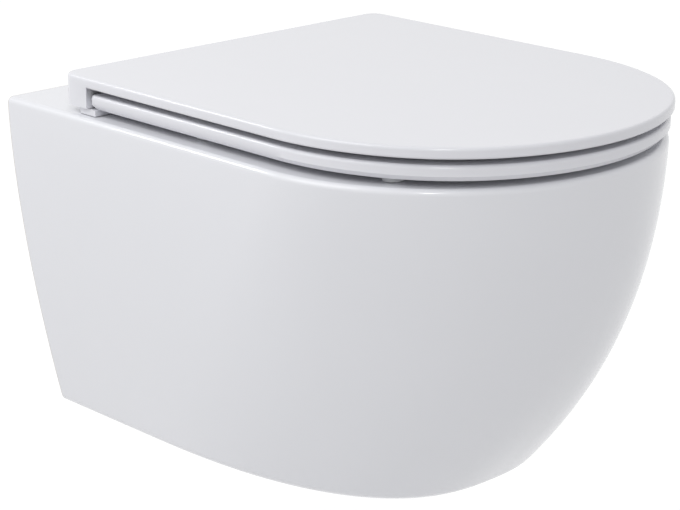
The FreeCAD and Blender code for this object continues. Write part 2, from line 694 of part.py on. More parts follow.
# ---------------------------------------------------------------- hinges
def build_hinge_post(side):
    """A cast post: a flat foot over the base plate and a head for the pin."""
    x = side * HINGE_X
    low = DECK_HEIGHT + SEAT_CLEARANCE
    disc = Part.makeCylinder(FOOT_RADIUS, FOOT_HEIGHT, V(x, FIXING_Y, low))
    disc = disc.makeChamfer(FOOT_EASE, edges_where(disc, flat_at(low + FOOT_HEIGHT)))
    neck = box(x - POST_WIDTH / 2, x + POST_WIDTH / 2, AXIS_Y - POST_HEAD_RADIUS,
               AXIS_Y + POST_HEAD_RADIUS, low, AXIS_Z)
    head = bar_x(POST_HEAD_RADIUS, x - POST_WIDTH / 2, x + POST_WIDTH / 2)
    post = fused(disc, neck, head)
    recess = Part.makeCylinder(PLATE_RADIUS + SEAT_CLEARANCE, PLATE_THICKNESS + OVERRUN,
                               V(x, FIXING_Y, low - OVERRUN))
    bore = bar_x(PIN_RADIUS + RUNNING_FIT, x - POST_WIDTH, x + POST_WIDTH)
    half = BUTTON_WIDTH / 2 + BUTTON_PLAY
    slot = box(x - half, x + half, FIXING_Y - FOOT_RADIUS - OVERRUN, FIXING_Y - PLATE_FLAT,
               low, BUTTON_BOTTOM + BUTTON_THICKNESS + BUTTON_PLAY)
    return post.cut([recess, bore, slot])


def build_base_plate(side):
    """A round plate screwed to the deck, countersunk, with a flat for the latch."""
    x = side * HINGE_X
    plate = Part.makeCylinder(PLATE_RADIUS, PLATE_THICKNESS, V(x, FIXING_Y, DECK_HEIGHT))
    hole = Part.makeCylinder(SCREW_RADIUS + CLEAR_HOLE, PLATE_THICKNESS, V(x, FIXING_Y, DECK_HEIGHT))
    sink = screw_head(x, SCREW_HEAD_RADIUS + CLEAR_HOLE, DECK_HEIGHT + PLATE_THICKNESS)
    flat = box(x - FOOT_RADIUS, x + FOOT_RADIUS, FIXING_Y - FOOT_RADIUS, FIXING_Y - PLATE_FLAT,
               DECK_HEIGHT - OVERRUN, DECK_HEIGHT + PLATE_THICKNESS + OVERRUN)
    return plate.cut([hole, sink, flat])


def screw_head(x, radius, top):
    """A countersunk cone that ends at the shank."""
    depth = radius - SCREW_RADIUS
    return Part.makeCone(SCREW_RADIUS, radius, depth, V(x, FIXING_Y, top - depth))


def build_hinge_screws():
    top = DECK_HEIGHT + PLATE_THICKNESS - CLEAR_HOLE
    head = screw_head(HINGE_X, SCREW_HEAD_RADIUS, top)
    shank = Part.makeCylinder(SCREW_RADIUS, SCREW_LENGTH, V(HINGE_X, FIXING_Y, top - SCREW_LENGTH))
    screw = head.fuse(shank)
    key = hexagon_rod(SCREW_KEY, V(HINGE_X, FIXING_Y, top - SCREW_KEY_DEPTH), SCREW_KEY_DEPTH)
    return both_sides(screw.cut(key))


def build_expansion_bushes():
    """Rubber bushes that swell under the deck when the screws are tightened."""
    low = DECK_HEIGHT - BUSH_LENGTH
    bush = Part.makeCylinder(FIXING_HOLE_RADIUS - BUSH_CLEARANCE, BUSH_LENGTH, V(HINGE_X, FIXING_Y, low))
    bore = Part.makeCylinder(SCREW_RADIUS + CLEAR_HOLE, BUSH_LENGTH, V(HINGE_X, FIXING_Y, low))
    return both_sides(bush.cut(bore))


def build_expansion_nuts():
    """Round nuts that pull up against the bushes."""
    low = DECK_HEIGHT - BUSH_LENGTH - NUT_LENGTH
    nut = Part.makeCone(FIXING_HOLE_RADIUS - NUT_TAPER, FIXING_HOLE_RADIUS - BUSH_CLEARANCE,
                        NUT_LENGTH, V(HINGE_X, FIXING_Y, low))
    bore = Part.makeCylinder(SCREW_RADIUS + RUNNING_FIT, NUT_LENGTH, V(HINGE_X, FIXING_Y, low))
    return both_sides(nut.cut(bore))


def build_hinge_pin(side):
    return bar_x(PIN_RADIUS, side * (KNUCKLE_INNER - PIN_GRIP), side * (KNUCKLE_OUTER + PIN_GRIP))


def cartridge(side, near, way):
    """A round insert on the hinge axis, bored for the pin, its mouth beside the post."""
    length = CARTRIDGE_LENGTH - SEAT_CLEARANCE
    body = bar_x(CARTRIDGE_RADIUS, side * near, side * (near + way * length))
    grip = PIN_GRIP + SEAT_CLEARANCE
    return body.cut(bar_x(PIN_RADIUS + RUNNING_FIT, side * (near - way), side * (near + way * grip)))


def inner_cartridge(side):
    return cartridge(side, KNUCKLE_INNER, -1)


def outer_cartridge(side):
    return cartridge(side, KNUCKLE_OUTER, 1)


def build_release_button(side):
    """A latch slide in the front of the post's foot, pushed towards the wall to free the seat."""
    x = side * HINGE_X
    front = FIXING_Y - FOOT_RADIUS - BUTTON_PROUD
    back = FIXING_Y - PLATE_FLAT - BUTTON_TRAVEL - SEAT_CLEARANCE
    button = box(x - BUTTON_WIDTH / 2, x + BUTTON_WIDTH / 2, front, back,
                 BUTTON_BOTTOM, BUTTON_BOTTOM + BUTTON_THICKNESS)
    corners = edges_where(button, lambda b: b.ZLength > b.XLength and b.YMax < FIXING_Y - FOOT_RADIUS)
    return button.makeFillet(BUTTON_ROUND, corners)


# ---------------------------------------------------------------- the set of pieces
def build_parts():
    parts = {
        "pan": build_pan(),
        "stud_sleeves": build_stud_sleeves(),
        "sleeve_liners": build_sleeve_liners(),
        "clamp_screws": build_clamp_screws(),
        "seat": build_seat(),
        "lid": build_lid(),
        "seat_buffers": buffers(SEAT_BUFFERS, BUFFER_RADIUS, DECK_HEIGHT + BUFFER_GAP, SEAT_BOTTOM),
        "lid_buffers": buffers(LID_BUFFERS, LID_BUFFER_RADIUS, SEAT_TOP + BUFFER_GAP,
                               LID_BOTTOM + LID_POCKET),
        "hinge_screws": build_hinge_screws(),
        "expansion_bushes": build_expansion_bushes(),
        "expansion_nuts": build_expansion_nuts(),
        "seat_damper": inner_cartridge(SIDES["left"]),
        "seat_bearing": inner_cartridge(SIDES["right"]),
        "lid_bearing": outer_cartridge(SIDES["left"]),
        "lid_damper": outer_cartridge(SIDES["right"]),
    }
    for name, side in SIDES.items():
        parts["hinge_post_" + name] = build_hinge_post(side)
        parts["base_plate_" + name] = build_base_plate(side)
        parts["hinge_pin_" + name] = build_hinge_pin(side)
        parts["release_button_" + name] = build_release_button(side)
    return parts


os.makedirs("parts", exist_ok=True)
for node, shape in build_parts().items():
    shape.exportStep("parts/" + node + ".step")
    print(node, len(shape.Solids), shape.isValid(), round(shape.Volume / 1000, 1))
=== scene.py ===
"""Dresses the wall hung toilet: glazed pan, moulded seat and lid, hinge and wall fittings.

Lengths are metres in the part's own frame: X runs across the pan, the wall is Y = 0 and the
pan projects towards -Y, Z is up, and the origin lies midway between the two wall studs.
"""
import math

import bmesh
import bpy
from bpy.props import FloatProperty, FloatVectorProperty, IntProperty, PointerProperty
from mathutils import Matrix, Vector


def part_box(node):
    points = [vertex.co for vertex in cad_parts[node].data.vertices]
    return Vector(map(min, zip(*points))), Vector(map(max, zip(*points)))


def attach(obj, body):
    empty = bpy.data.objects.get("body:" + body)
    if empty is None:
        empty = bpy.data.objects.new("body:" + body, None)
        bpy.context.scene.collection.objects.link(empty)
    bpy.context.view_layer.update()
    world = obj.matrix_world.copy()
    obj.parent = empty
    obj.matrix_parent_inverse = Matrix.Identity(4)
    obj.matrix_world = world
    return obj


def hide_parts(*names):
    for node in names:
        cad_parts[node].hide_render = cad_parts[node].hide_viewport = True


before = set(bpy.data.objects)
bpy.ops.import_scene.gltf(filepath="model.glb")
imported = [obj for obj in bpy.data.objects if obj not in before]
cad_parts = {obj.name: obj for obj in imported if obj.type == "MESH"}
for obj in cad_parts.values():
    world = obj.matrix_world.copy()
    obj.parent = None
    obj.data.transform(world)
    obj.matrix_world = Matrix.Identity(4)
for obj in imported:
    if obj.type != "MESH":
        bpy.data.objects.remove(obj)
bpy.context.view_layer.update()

bl_info = {
    "name": "Wall Hung Toilet",
    "version": (1, 0, 0),
    "blender": (4, 5, 0),
    "location": "3D View > Sidebar > Toilet",
    "description": "Builds the glazed pan, seat, lid and fittings around the packed frame",
    "category": "Object",
}

PAN_LOW, PAN_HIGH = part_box("pan")


# ---------------------------------------------------------------- settings
class ToiletSizes(bpy.types.PropertyGroup):
    """Sizes of the ceramic that the frame doesn't give by its boxes"""

    straight: FloatProperty(
        name="Straight side", description="From the wall to the start of the nose, at the rim",
        default=0.313, unit="LENGTH")
    side_draw: FloatProperty(
        name="Side draw", description="How far each side draws in from rim to base",
        default=0.0435, unit="LENGTH")
    nose_draw: FloatProperty(
        name="Nose draw", description="How far the nose draws back from rim to base",
        default=0.1135, unit="LENGTH")
    straight_draw: FloatProperty(
        name="Straight draw", description="How much shorter the straight side is at the base",
        default=0.201, unit="LENGTH")
    wall: FloatProperty(
        name="Wall", description="Thickness of the fired skin", default=0.012, unit="LENGTH")
    deck: FloatProperty(
        name="Deck", description="Thickness of the deck and rim top", default=0.014, unit="LENGTH")
    rim_round: FloatProperty(
        name="Rim rounding", description="Radius round the rim's outer edge",
        default=0.005, unit="LENGTH")
    base_round: FloatProperty(
        name="Base rounding", description="Radius round the base", default=0.007, unit="LENGTH")
    opening_round: FloatProperty(
        name="Opening rounding", description="Radius round the edge of the bowl's opening",
        default=0.006, unit="LENGTH")
    columns: IntProperty(
        name="Columns", description="Faces around the pan's outline", default=150, min=30)
    rows: IntProperty(
        name="Rows", description="Faces down the pan's skin", default=72, min=20)


class ToiletColours(bpy.types.PropertyGroup):
    """Colours of the finishes"""

    glaze: FloatVectorProperty(
        name="Glaze", description="White glaze of the pan", subtype="COLOR", size=3,
        default=(0.80, 0.806, 0.842), min=0, max=1)
    duroplast: FloatVectorProperty(
        name="Seat", description="Moulded seat and lid", subtype="COLOR", size=3,
        default=(0.772, 0.775, 0.816), min=0, max=1)
    biscuit: FloatVectorProperty(
        name="Biscuit", description="Unglazed clay on the wall face", subtype="COLOR", size=3,
        default=(0.66, 0.63, 0.58), min=0, max=1)
    elastomer: FloatVectorProperty(
        name="Buffers", description="Soft buffers under the seat and the lid", subtype="COLOR",
        size=3, default=(0.62, 0.63, 0.64), min=0, max=1)
    nylon: FloatVectorProperty(
        name="Nylon", description="Grey moulded hinge inserts and liners", subtype="COLOR",
        size=3, default=(0.26, 0.27, 0.29), min=0, max=1)


class ToiletStudio(bpy.types.PropertyGroup):
    """Camera, lamps and floor"""

    camera_place: FloatVectorProperty(
        name="Camera", description="Where the camera stands", subtype="TRANSLATION", size=3,
        default=(-1.172, -1.4237, 0.4916))
    camera_way: FloatVectorProperty(
        name="View", description="The way the camera looks", subtype="DIRECTION", size=3,
        default=(0.6595, 0.6865, -0.3038))
    focal: FloatProperty(
        name="Focal length", description="On a sensor 36 mm wide", default=114.2,
        unit="CAMERA")
    floor_drop: FloatProperty(
        name="Floor", description="Floor below the wall studs", default=0.32, unit="LENGTH")
    key_power: FloatProperty(
        name="Key lamp", description="Soft lamp above, behind on the left", default=13.5,
        unit="POWER")
    front_power: FloatProperty(
        name="Front lamp", description="Weak soft lamp ahead of the nose", default=1.5,
        unit="POWER")
    glint_power: FloatProperty(
        name="Glint lamps", description="Two small lamps that draw lines along the edges",
        default=5.5, unit="POWER")
    fill: FloatProperty(
        name="Room light", description="Plain light from all round", default=0.585, min=0)


# ---------------------------------------------------------------- node trees
class Value:
    """A node's output that takes part in arithmetic, one Math node for each step."""

    def __init__(self, board, socket):
        self.board = board
        self.socket = socket

    def math(self, operation, *others):
        values = dict(enumerate((self,) + others))
        return self.board.add("ShaderNodeMath", {"operation": operation}, values)

    def __add__(self, other):
        return self.math("ADD", other)

    __radd__ = __add__

    def __mul__(self, other):
        return self.math("MULTIPLY", other)

    __rmul__ = __mul__

    def __sub__(self, other):
        return self.math("SUBTRACT", other)

    def __rsub__(self, other):
        return self * -1.0 + other

    def __truediv__(self, other):
        return self.math("DIVIDE", other)

    def __rtruediv__(self, other):
        return self ** -1.0 * other

    def __pow__(self, other):
        return self.math("POWER", other)

    def within(self):
        """The same value, held between 0 and 1."""
        return self.math("MINIMUM", 1.0).math("MAXIMUM", 0.0)


class Board:
    """The nodes of one tree."""

    def __init__(self, tree):
        self.tree = tree
        tree.nodes.clear()

    def add(self, kind, settings=None, inputs=None, output=0):
        """A node of a kind: its settings go in first, then the values or links of its inputs."""
        node = self.tree.nodes.new(kind)
        for name, value in (settings or {}).items():
            setattr(node, name, value)
        for name, value in (inputs or {}).items():
            if isinstance(value, Value):
                self.tree.links.new(value.socket, node.inputs[name])
            else:
                node.inputs[name].default_value = value
        return Value(self, node.outputs[output]) if node.outputs else None

    def other(self, value, output):
        """Another output of the node that a value comes from."""
        return Value(self, value.socket.node.outputs[output])


def split(board, vector):
    """X, Y and Z of a vector."""
    x = board.add("ShaderNodeSeparateXYZ", {}, {0: vector})
    return x, board.other(x, 1), board.other(x, 2)


# ---------------------------------------------------------------- finishes
class Finish(Board):
    """A material's nodes, with the object's own coordinates at hand."""

    def __init__(self, name):
        self.material = bpy.data.materials.new(name)
        self.material.use_nodes = True
        super().__init__(self.material.node_tree)
        coordinates = self.add("ShaderNodeTexCoord")
        self.place = self.other(coordinates, "Object")

    def noise(self, scale, detail=2.0, stretch=(1, 1, 1)):
        """Smooth unevenness between 0 and 1, scale in features per metre."""
        place = self.add("ShaderNodeMapping", {}, {"Vector": self.place, "Scale": stretch})
        inputs = {"Vector": place, "Scale": scale, "Detail": detail}
        return self.add("ShaderNodeTexNoise", {}, inputs)

    def blend(self, share, first, second):
        """A colour between two."""
        inputs = {0: share, 6: first, 7: second}
        return self.add("ShaderNodeMix", {"data_type": "RGBA"}, inputs, output=2)

    def relief(self, height, depth, strength=1.0):
        """Bump from a height between 0 and 1, depth in metres."""
        inputs = {"Height": height, "Distance": depth, "Strength": strength}
        return self.add("ShaderNodeBump", {}, inputs)

    def close(self, **inputs):
        """Ends the material in one Principled shader."""
        named = {name.replace("_", " "): value for name, value in inputs.items()}
        shader = self.add("ShaderNodeBsdfPrincipled", {}, named)
        self.add("ShaderNodeOutputMaterial", {}, {"Surface": shader})
        return self.material


def tone(colour, scale):
    """A colour made darker or lighter, with its alpha."""
    return tuple(min(1.0, part * scale) for part in colour) + (1.0,)


def glaze():
    """White glaze with a faint flow in it, ground to bare clay where the pan meets the wall."""
    colours = bpy.context.scene.toilet_colours
    ground_depth = 0.0009
    ground_fade = 0.0006
    coat = 0.15
    finish = Finish("white_glaze")
    flow = finish.noise(7.0, 3.0)
    ripple = finish.noise(55.0, 1.0)
    grain = finish.noise(1400.0, 2.0)
    y = split(finish, finish.place)[1]
    bare = ((y + ground_depth) / ground_fade).within()
    glazed = finish.blend(flow, tone(colours.glaze, 0.985), tone(colours.glaze, 1.015))
    clay = finish.blend(grain, tone(colours.biscuit, 0.86), tone(colours.biscuit, 1.12))
    colour = finish.blend(bare, glazed, clay)
    rough = 0.17 + flow * 0.05 + bare * 0.5
    height = ripple + bare * grain
    normal = finish.relief(height, 0.00006, 0.5)
    return finish.close(Base_Color=colour, Roughness=rough, Normal=normal, Coat_Roughness=0.06,
                        Coat_Weight=coat - bare * coat)


def duroplast():
    """Hard moulded plastic, polished, with the faintest orange peel."""
    colours = bpy.context.scene.toilet_colours
    finish = Finish("white_duroplast")
    flow = finish.noise(9.0, 2.0)
    peel = finish.noise(900.0, 1.0)
    colour = finish.blend(flow, tone(colours.duroplast, 0.99), tone(colours.duroplast, 1.01))
    rough = 0.16 + flow * 0.05 + peel * 0.02
    normal = finish.relief(peel, 0.000006)
    return finish.close(Base_Color=colour, Roughness=rough, Normal=normal)


def elastomer():
    """Soft off-white buffers, a little milky and dull."""
    colours = bpy.context.scene.toilet_colours
    finish = Finish("soft_elastomer")
    bloom = finish.noise(260.0, 3.0)
    colour = finish.blend(bloom, tone(colours.elastomer, 0.93), tone(colours.elastomer, 1.06))
    return finish.close(Base_Color=colour, Roughness=0.5 + bloom * 0.14,
                        Normal=finish.relief(bloom, 0.00002))


def nylon():
    """Grey moulded nylon with a fine spark-eroded grain."""
    colours = bpy.context.scene.toilet_colours
    finish = Finish("grey_nylon")
    grain = finish.noise(2600.0, 3.0)
    cloud = finish.noise(60.0, 2.0)
    colour = finish.blend(cloud, tone(colours.nylon, 0.9), tone(colours.nylon, 1.1))
    return finish.close(Base_Color=colour, Roughness=0.42 + grain * 0.16,
                        Normal=finish.relief(grain, 0.00002))


def black_rubber():
    """Black rubber with a dusty bloom."""
    finish = Finish("black_rubber")
    bloom = finish.noise(180.0, 4.0)
    colour = finish.blend(bloom, (0.018, 0.018, 0.019, 1), (0.04, 0.04, 0.042, 1))
    return finish.close(Base_Color=colour, Roughness=0.62 + bloom * 0.2,
                        Normal=finish.relief(bloom, 0.00003))


def chrome():
    """Bright chrome plate with faint polishing haze."""
    finish = Finish("chrome_plate")
    haze = finish.noise(120.0, 3.0)
    colour = finish.blend(haze, (0.60, 0.61, 0.63, 1), (0.68, 0.69, 0.71, 1))
    return finish.close(Base_Color=colour, Metallic=1.0, Roughness=0.07 + haze * 0.07,
                        Normal=finish.relief(haze, 0.000006))


def brushed_steel():
    """Stainless steel, brushed across the hinge axis."""
    finish = Finish("brushed_steel")
    brush = finish.noise(900.0, 3.0, (0.06, 1.0, 1.0))
    colour = finish.blend(brush, (0.42, 0.43, 0.44, 1), (0.60, 0.60, 0.61, 1))
    return finish.close(Base_Color=colour, Metallic=1.0, Roughness=0.2 + brush * 0.2,
                        Normal=finish.relief(brush, 0.00001))


def zinc_plate():
    """Bright zinc with a bluish, slightly blotched passivation."""
    finish = Finish("zinc_plate")
    blotch = finish.noise(150.0, 4.0)
    colour = finish.blend(blotch, (0.44, 0.46, 0.50, 1), (0.62, 0.62, 0.60, 1))
    return finish.close(Base_Color=colour, Metallic=1.0, Roughness=0.26 + blotch * 0.16,
                        Normal=finish.relief(blotch, 0.00001))


def turned_brass():
    """Turned brass, with the tool's rings around the upright axis."""
    finish = Finish("turned_brass")
    rings = finish.noise(1500.0, 1.0, (0.05, 0.05, 1.0))
    colour = finish.blend(rings, (0.50, 0.34, 0.12, 1), (0.66, 0.47, 0.20, 1))
    return finish.close(Base_Color=colour, Metallic=1.0, Roughness=0.24 + rings * 0.16,
                        Normal=finish.relief(rings, 0.00002))


# ---------------------------------------------------------------- meshes
SHARP_DEGREES = 32.0     # an edge that turns more than this stays sharp
FLAT_DEGREES = 0.1       # faces that turn less than this are one flat face
SAME_POINT = 1e-6        # points closer than this on a made sheet are one


def new_piece(name, mesh, material=None):
    piece = bpy.data.objects.new(name, mesh)
    bpy.context.scene.collection.objects.link(piece)
    if material:
        mesh.materials.clear()
        mesh.materials.append(material)
    return piece


def baked(piece, name):
    """The piece as its modifiers make it, on one plain mesh."""
    graph = bpy.context.evaluated_depsgraph_get()
    mesh = bpy.data.meshes.new_from_object(piece.evaluated_get(graph))
    mesh.name = name
    return mesh


def dropped(piece):
    """Takes a draft away, with its mesh if nothing else uses that."""
    mesh = piece.data
    bpy.data.objects.remove(piece)
    if mesh.users == 0:
        bpy.data.meshes.remove(mesh)


def smoothed(name, mesh, material):
    """A piece with soft shading up to an angle, its flat faces kept flat."""
    mesh.polygons.foreach_set("use_smooth", [True] * len(mesh.polygons))
    mesh.set_sharp_from_angle(angle=math.radians(SHARP_DEGREES))
    draft = new_piece(name + "_draft", mesh)
    weighted = draft.modifiers.new("flat_faces", "WEIGHTED_NORMAL")
    weighted.keep_sharp = True
    weighted.weight = 100
    final = baked(draft, name)
    dropped(draft)
    return new_piece(name, final, material)


def lofted(rings):
    """A closed mesh through closed rings of equal count, capped at both ends."""
    bm = bmesh.new()
    loops = [[bm.verts.new(point) for point in ring] for ring in rings]
    count = len(loops[0])
    for first, second in zip(loops, loops[1:]):
        for i in range(count):
            bm.faces.new((first[i], first[(i + 1) % count], second[(i + 1) % count], second[i]))
    bm.faces.new(loops[0])
    bm.faces.new(loops[-1])
    bmesh.ops.recalc_face_normals(bm, faces=bm.faces)
    mesh = bpy.data.meshes.new("loft")
    bm.to_mesh(mesh)
    bm.free()
    return mesh


def round_ring(centre, radius, way, count=64):
    """A circle of points about a centre, square to a direction in the plane X = 0."""
    across = Vector((1, 0, 0))
    up = across.cross(Vector(way).normalized())
    ring = []
    for i in range(count):
        angle = 2 * math.pi * i / count
        ring.append(Vector(centre) + (across * math.cos(angle) + up * math.sin(angle)) * radius)
    return ring


def upright_bar(radius, x, y, low, high, count=48):
    """A round bar between two heights."""
    rings = []
    for z in (low, high):
        ring = []
        for i in range(count):
            angle = 2 * math.pi * i / count
            ring.append(Vector((x + radius * math.cos(angle), y + radius * math.sin(angle), z)))
        rings.append(ring)
    return lofted(rings)


def block(low, high, rounding=0.0):
    """A box between two corners, its edges rounded where a rounding is given."""
    bm = bmesh.new()
    bmesh.ops.create_cube(bm, size=1.0)
    for vert in bm.verts:
        for axis in range(3):
            vert.co[axis] = low[axis] if vert.co[axis] < 0 else high[axis]
    if rounding:
        bmesh.ops.bevel(bm, geom=bm.edges[:], offset=rounding, segments=4, profile=0.5,
                        affect="EDGES")
    bmesh.ops.recalc_face_normals(bm, faces=bm.faces)
    mesh = bpy.data.meshes.new("block")
    bm.to_mesh(mesh)
    bm.free()
    return mesh


def combined(base, meshes, operation):
    """A mesh joined with or cut by others."""
    others = bpy.data.collections.new("others")
    bpy.context.scene.collection.children.link(others)
    pieces = []
    for mesh in meshes:
        piece = bpy.data.objects.new("other", mesh)
        others.objects.link(piece)
        pieces.append(piece)
    main = new_piece("main", base)
    step = main.modifiers.new("step", "BOOLEAN")
    step.operation = operation
    step.operand_type = "COLLECTION"
    step.collection = others
    step.solver = "EXACT"
    result = baked(main, "combined")
    dropped(main)
    for piece in pieces:
        dropped(piece)
    bpy.data.collections.remove(others)
    return result


# ---------------------------------------------------------------- the pan
# How each measure changes from the rim down to the base
SIDE_POWER = 1.6
NOSE_POWER = 2.25
STRAIGHT_POWER = 1.15
RIM_SQUARENESS = 2.0
BASE_SQUARENESS = 2.6

FORM_INPUTS = ("Half width", "Length", "Height", "Straight", "Side draw", "Nose draw",
               "Straight draw", "Inset", "Top", "Bottom", "Top round", "Bottom round", "Back")


def pan_form_tree():
    """The pan's outside as a sheet from the wall round the nose and back to the wall.

    One rule gives each level's outline from its share of the way down from rim to base.
    """
    tree = bpy.data.node_groups.new("pan_form", "GeometryNodeTree")
    for name in FORM_INPUTS:
        tree.interface.new_socket(name, in_out="INPUT", socket_type="NodeSocketFloat")
    for name in ("Columns", "Rows"):
        tree.interface.new_socket(name, in_out="INPUT", socket_type="NodeSocketInt")
    tree.interface.new_socket("Material", in_out="INPUT", socket_type="NodeSocketMaterial")
    tree.interface.new_socket("Geometry", in_out="OUTPUT", socket_type="NodeSocketGeometry")
    board = Board(tree)
    first = board.add("NodeGroupInput")
    names = FORM_INPUTS + ("Columns", "Rows", "Material")
    given = {name: board.other(first, name) for name in names}

    sheet = board.add("GeometryNodeMeshGrid", {}, {
        "Size X": 1.0, "Size Y": 1.0, "Vertices X": given["Columns"], "Vertices Y": given["Rows"]})
    across, down = split(board, board.add("GeometryNodeInputPosition"))[:2]
    across = across + 0.5
    down = down + 0.5

    # Down the sheet: the top rounding, the drawn side, then the bottom rounding
    round_share = 0.12
    top_turn = (down / round_share).within() * (math.pi / 2)
    side = ((down - round_share) / (1 - 2 * round_share)).within()
    low_turn = ((down - 1 + round_share) / round_share).within() * (math.pi / 2)
    plain = given["Top"] - given["Bottom"] - given["Top round"] - given["Bottom round"]
    z = given["Top"] - given["Top round"] * (1 - top_turn.math("COSINE"))
    z = z - side * plain - given["Bottom round"] * low_turn.math("SINE")
    inset = given["Inset"] + given["Top round"] * (1 - top_turn.math("SINE"))
    inset = inset + given["Bottom round"] * (1 - low_turn.math("COSINE"))

    # The rule of the form
    rim_z = PAN_HIGH.z
    share = ((rim_z - z) / given["Height"]).within()
    half = given["Half width"] - given["Side draw"] * share ** SIDE_POWER - inset
    front = given["Nose draw"] * share ** NOSE_POWER + inset - given["Length"]
    straight = given["Straight draw"] * share ** STRAIGHT_POWER - given["Straight"]
    power = 2.0 / (share * (BASE_SQUARENESS - RIM_SQUARENESS) + RIM_SQUARENESS)

    # Across the sheet: one side, the nose, the other side
    side_share = 0.14
    left = (across / side_share).within()
    turn = ((across - side_share) / (1 - 2 * side_share)).within() * math.pi
    right = ((across - 1 + side_share) / side_share).within()
    cosine = turn.math("COSINE")
    sine = turn.math("SINE").math("MAXIMUM", 0.0)
    x = half * cosine.math("SIGN") * cosine.math("ABSOLUTE") ** power * -1.0
    y = straight - (straight - front) * sine ** power
    y = y + (given["Back"] - straight) * (1 - left + right)
    place = board.add("ShaderNodeCombineXYZ", {}, {0: x, 1: y, 2: z})
    shaped = board.add("GeometryNodeSetPosition", {}, {"Geometry": sheet, "Position": place})
    real = board.add("GeometryNodeRealizeInstances", {}, {"Geometry": shaped})
    inputs = {"Geometry": real, "Material": given["Material"]}
    board.add("NodeGroupOutput", {}, {"Geometry": board.add("GeometryNodeSetMaterial", {}, inputs)})
    return tree


def pan_form(tree, material, inset, top, bottom, top_round, bottom_round, back):
    """The pan's form as a closed mesh, flat at the top, the bottom and the back."""
    sizes = bpy.context.scene.toilet_sizes
    values = {
        "Half width": PAN_HIGH.x, "Length": -PAN_LOW.y, "Height": PAN_HIGH.z - PAN_LOW.z,
        "Straight": sizes.straight, "Side draw": sizes.side_draw, "Nose draw": sizes.nose_draw,
        "Straight draw": sizes.straight_draw, "Inset": inset, "Top": top, "Bottom": bottom,
        "Top round": top_round, "Bottom round": bottom_round, "Back": back,
        "Columns": sizes.columns + 1, "Rows": sizes.rows + 1, "Material": material}
    draft = new_piece("form", bpy.data.meshes.new("form"))
    shape = draft.modifiers.new("form", "NODES")
    shape.node_group = tree
    for item in tree.interface.items_tree:
        if item.in_out == "INPUT":
            shape[item.identifier] = values[item.name]
    mesh = baked(draft, "form")
    dropped(draft)

    bm = bmesh.new()
    bm.from_mesh(mesh)
    bmesh.ops.remove_doubles(bm, verts=bm.verts, dist=SAME_POINT)
    edge = [v for v in bm.verts if v.is_boundary]
    flats = (
        sorted((v for v in edge if v.co.z > top - SAME_POINT), key=around),
        sorted((v for v in edge if v.co.z < bottom + SAME_POINT), key=around),
        sorted((v for v in edge if v.co.y > back - SAME_POINT), key=upright),
    )
    for flat in flats:
        bm.faces.new(flat)
    bmesh.ops.recalc_face_normals(bm, faces=bm.faces)
    bm.to_mesh(mesh)
    bm.free()
    return mesh


def around(vert):
    """Order along the outline, from the rear left round the nose to the rear right."""
    middle_y = PAN_LOW.y / 3
    return math.atan2(vert.co.x, middle_y - vert.co.y)


def upright(vert):
    """Order round the back: up one side and down the other."""
    return (vert.co.x > 0, vert.co.z if vert.co.x < 0 else -vert.co.z)


# Bowl: an upright band under the opening, a ledge for the flush, the bowl proper and its sump
OPENING = {"half": 0.137, "rear": -0.170, "front": -0.452}
OPENING_SQUARENESS = 2.25
LEDGE_Z = 0.046
LEDGE = 0.012
LEDGE_EASE = 0.003
BAND_FILLET = 0.005
BAND_WALL = 0.015
BOWL_POWER = 1.5
BOWL_NOSE_POWER = 2.2
BOWL_WALL = 0.010
SUMP_Y = -0.300
SUMP_Z = -0.147
SUMP_RADIUS = 0.037

# Trap: Y and Z of its corners, the rising limb clear of the bowl's rear
TRAP_RADIUS = 0.032
TRAP_WALL = 0.009
TRAP_BEND = 0.042
OUTLET_Z = -0.100
TRAP_POINTS = ((SUMP_Y, SUMP_Z), (-0.210, SUMP_Z), (-0.1535, -0.020),
               (-0.092, -0.020), (-0.075, OUTLET_Z), (-0.037, OUTLET_Z))

# Waste spigot and flush socket, and the flush's way from the socket to the slot in the bowl:
# Y, Z, half width and half height of each end
SPIGOT_RADIUS = 0.051
SPIGOT_LENGTH = 0.046
OUTLET_RADIUS = 0.042
OUTLET_DEPTH = 0.037
SOCKET_RADIUS = 0.0365
SOCKET_DEPTH = 0.059
INLET_Z = 0.035
INLET_RADIUS = 0.0275
INLET_DEPTH = 0.050
FLUSH_ENDS = ((-0.046, INLET_Z, 0.019, 0.019), (-0.174, 0.059, 0.046, 0.008))
FLUSH_SQUARENESS = 4.0

# Lugs round the wall studs, each with a pocket, a clamp screw's hole and the key's way to it
STUD_X = 0.090
LUG_HALF = 0.022
LUG_DEPTH = 0.058
LUG_LOW = -0.025
LUG_HIGH = 0.073
LUG_ROUND = 0.005
POCKET_RADIUS = 0.015
POCKET_DEPTH = 0.050
POCKET_FLARE = 0.001
CLAMP_Y = -0.030
CLAMP_LOW = -0.026
CLAMP_RADIUS = 0.00405
KEY_HOLE_RADIUS = 0.008

# Holes of the seat fixing through the deck
HINGE_X = 0.0775
FIXING_Y = -0.087
DECK_HOLE_RADIUS = 0.008

INNER_TOP_ROUND = 0.006
INNER_BASE_ROUND = 0.008
PAST_WALL = 0.02         # how far solids reach past the wall face before it is cut
OVERRUN = 0.001          # how far a through hole runs past a face
WALL_CUT = ((-0.3, 0.0, -0.3), (0.3, 0.1, 0.2))      # takes off what reaches past the wall face


def turned(profile, origin, way, count=64):
    """A round closed mesh from (distance, radius) pairs along a way in the plane X = 0."""
    step = Vector(way).normalized()
    return lofted([round_ring(Vector(origin) + step * distance, radius, way, count)
                   for distance, radius in profile])


